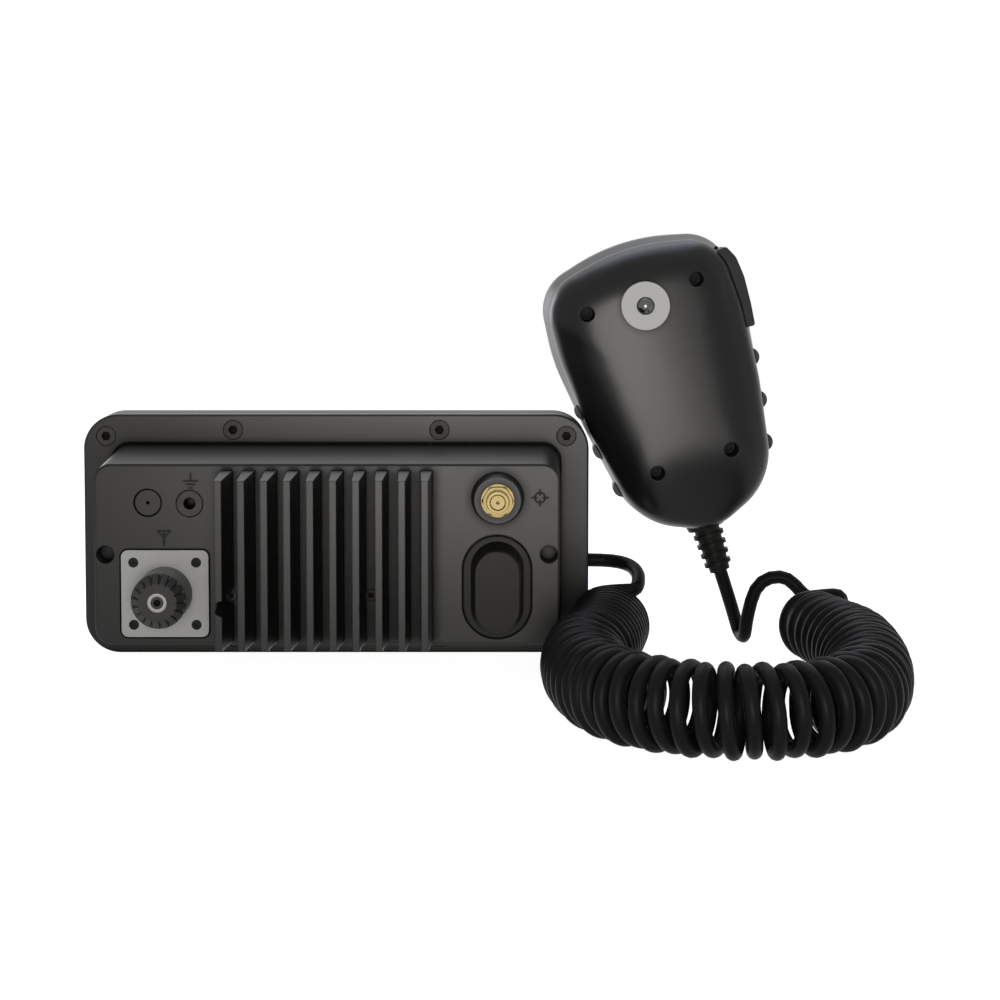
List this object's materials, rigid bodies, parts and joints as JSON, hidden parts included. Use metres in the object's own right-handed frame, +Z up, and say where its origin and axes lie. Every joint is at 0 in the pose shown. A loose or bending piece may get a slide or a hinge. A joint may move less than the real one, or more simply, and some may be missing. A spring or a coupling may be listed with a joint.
{
  "type": "vhf marine radio",
  "caption": "Fixed-mount marine radio with rear cooling fins, antenna and positioning sockets, and a fist microphone on a curly cord.",
  "frame": {"origin": "bottom centre of the box round the radio and microphone, without the cord, on the surface it stands on", "axes": "+Z up, +Y from the rear fins towards the front panel, +X from the radio towards the microphone"},
  "size_m": [0.2405, 0.1933, 0.1294],
  "materials": {
    "casting": "satin paint with a fine grain",
    "housing": "satin",
    "steel": "satin",
    "nickel": "satin nickel",
    "gold": "polished gold plate",
    "insulator": "matt",
    "contact": "plated",
    "rubber": "matt",
    "vent": "matt",
    "board": "satin",
    "black_parts": "matt",
    "display": "gloss",
    "lens": "clear",
    "grille": "satin",
    "keys": "satin",
    "knobs": "satin",
    "red": "gloss",
    "flap": "clear red",
    "mic_plastic": "satin",
    "cord": "gloss"
  },
  "bodies": {
    "radio": {"rear_chassis": "casting", "flange_gasket": "rubber", "flange_screws": "steel", "amplifier_screws": "steel", "power_amplifier": "black_parts", "vent_plug": "vent", "ground_terminal": "contact", "rear_port_cover": "rubber", "antenna_socket_body": "nickel", "antenna_socket_insulator": "insulator", "antenna_socket_contact": "contact", "antenna_socket_screws": "steel", "gps_socket_body": "gold", "gps_socket_nut": "gold", "main_board": "board", "shield_cans": "steel", "board_screws": "steel", "link_ribbon": "black_parts", "front_housing": "housing", "front_board": "board", "display_window": "lens", "lcd_panel": "display", "speaker_grille": "grille", "loudspeaker": "black_parts", "key_switches": "black_parts", "distress_switch": "black_parts", "rotary_controls": "black_parts", "distress_flap_pin": "steel", "cord_gland": "rubber", "mic_rear_shell": "mic_plastic", "mic_front_shell": "mic_plastic", "mic_screws": "steel", "hangup_button": "nickel", "hangup_screw": "steel", "ptt_pin": "steel", "mic_board": "board", "mic_switches": "black_parts", "mic_speaker": "black_parts", "mic_capsule": "black_parts", "grip_ribs": "rubber", "mic_strain_relief": "rubber", "cord_coil": "cord", "cord_radio_lead": "cord", "cord_mic_lead": "cord"},
    "ptt": {"ptt_bar": "mic_plastic"},
    "distress_key": {"distress_button": "red"},
    "distress_cover": {"distress_flap": "flap"},
    "channel_dial": {"channel_knob": "knobs"},
    "volume_dial": {"volume_knob": "knobs"},
    "squelch_dial": {"squelch_knob": "knobs"},
    "key_1": {"front_key_1": "keys"},
    "key_2": {"front_key_2": "keys"},
    "key_3": {"front_key_3": "keys"},
    "key_4": {"front_key_4": "keys"},
    "key_5": {"front_key_5": "keys"},
    "key_6": {"front_key_6": "keys"},
    "mic_key_left": {"mic_key_left": "keys"},
    "mic_key_middle": {"mic_key_middle": "keys"},
    "mic_key_right": {"mic_key_right": "keys"}
  },
  "joints": [
    {"name": "ptt_press", "type": "hinge", "parent": "radio", "child": "ptt", "pos_m": [0.0956, 0.03165, 0.10232], "axis": [0, -1, 0], "range_deg": [0, 5], "stiffness_Nm_per_rad": 0.3},
    {"name": "key_1_press", "type": "slide", "parent": "radio", "child": "key_1", "axis": [0, -1, 0], "range_m": [0, 0.0009], "stiffness_N_per_m": 600},
    {"name": "key_2_press", "type": "slide", "parent": "radio", "child": "key_2", "axis": [0, -1, 0], "range_m": [0, 0.0009], "stiffness_N_per_m": 600},
    {"name": "key_3_press", "type": "slide", "parent": "radio", "child": "key_3", "axis": [0, -1, 0], "range_m": [0, 0.0009], "stiffness_N_per_m": 600},
    {"name": "key_4_press", "type": "slide", "parent": "radio", "child": "key_4", "axis": [0, -1, 0], "range_m": [0, 0.0009], "stiffness_N_per_m": 600},
    {"name": "key_5_press", "type": "slide", "parent": "radio", "child": "key_5", "axis": [0, -1, 0], "range_m": [0, 0.0009], "stiffness_N_per_m": 600},
    {"name": "key_6_press", "type": "slide", "parent": "radio", "child": "key_6", "axis": [0, -1, 0], "range_m": [0, 0.0009], "stiffness_N_per_m": 600},
    {"name": "mic_key_left_press", "type": "slide", "parent": "radio", "child": "mic_key_left", "axis": [0, -1, 0], "range_m": [0, 0.0009], "stiffness_N_per_m": 600},
    {"name": "mic_key_middle_press", "type": "slide", "parent": "radio", "child": "mic_key_middle", "axis": [0, -1, 0], "range_m": [0, 0.0009], "stiffness_N_per_m": 600},
    {"name": "mic_key_right_press", "type": "slide", "parent": "radio", "child": "mic_key_right", "axis": [0, -1, 0], "range_m": [0, 0.0009], "stiffness_N_per_m": 600},
    {"name": "distress_press", "type": "slide", "parent": "radio", "child": "distress_key", "axis": [0, -1, 0], "range_m": [0, 0.0009], "stiffness_N_per_m": 600},
    {"name": "distress_cover_lift", "type": "hinge", "parent": "radio", "child": "distress_cover", "pos_m": [0.01929, 0.04095, 0.0226], "axis": [1, 0, 0], "range_deg": [0, 100], "stiffness_Nm_per_rad": 0.002},
    {"name": "channel_turn", "type": "hinge", "parent": "radio", "child": "channel_dial", "pos_m": [-0.08271, 0.03835, 0.048], "axis": [0, 1, 0], "continuous": true},
    {"name": "volume_turn", "type": "hinge", "parent": "radio", "child": "volume_dial", "pos_m": [-0.07071, 0.03835, 0.02], "axis": [0, 1, 0], "range_deg": [0, 280]},
    {"name": "squelch_turn", "type": "hinge", "parent": "radio", "child": "squelch_dial", "pos_m": [-0.08671, 0.03835, 0.02], "axis": [0, 1, 0], "range_deg": [0, 280]}
  ]
}
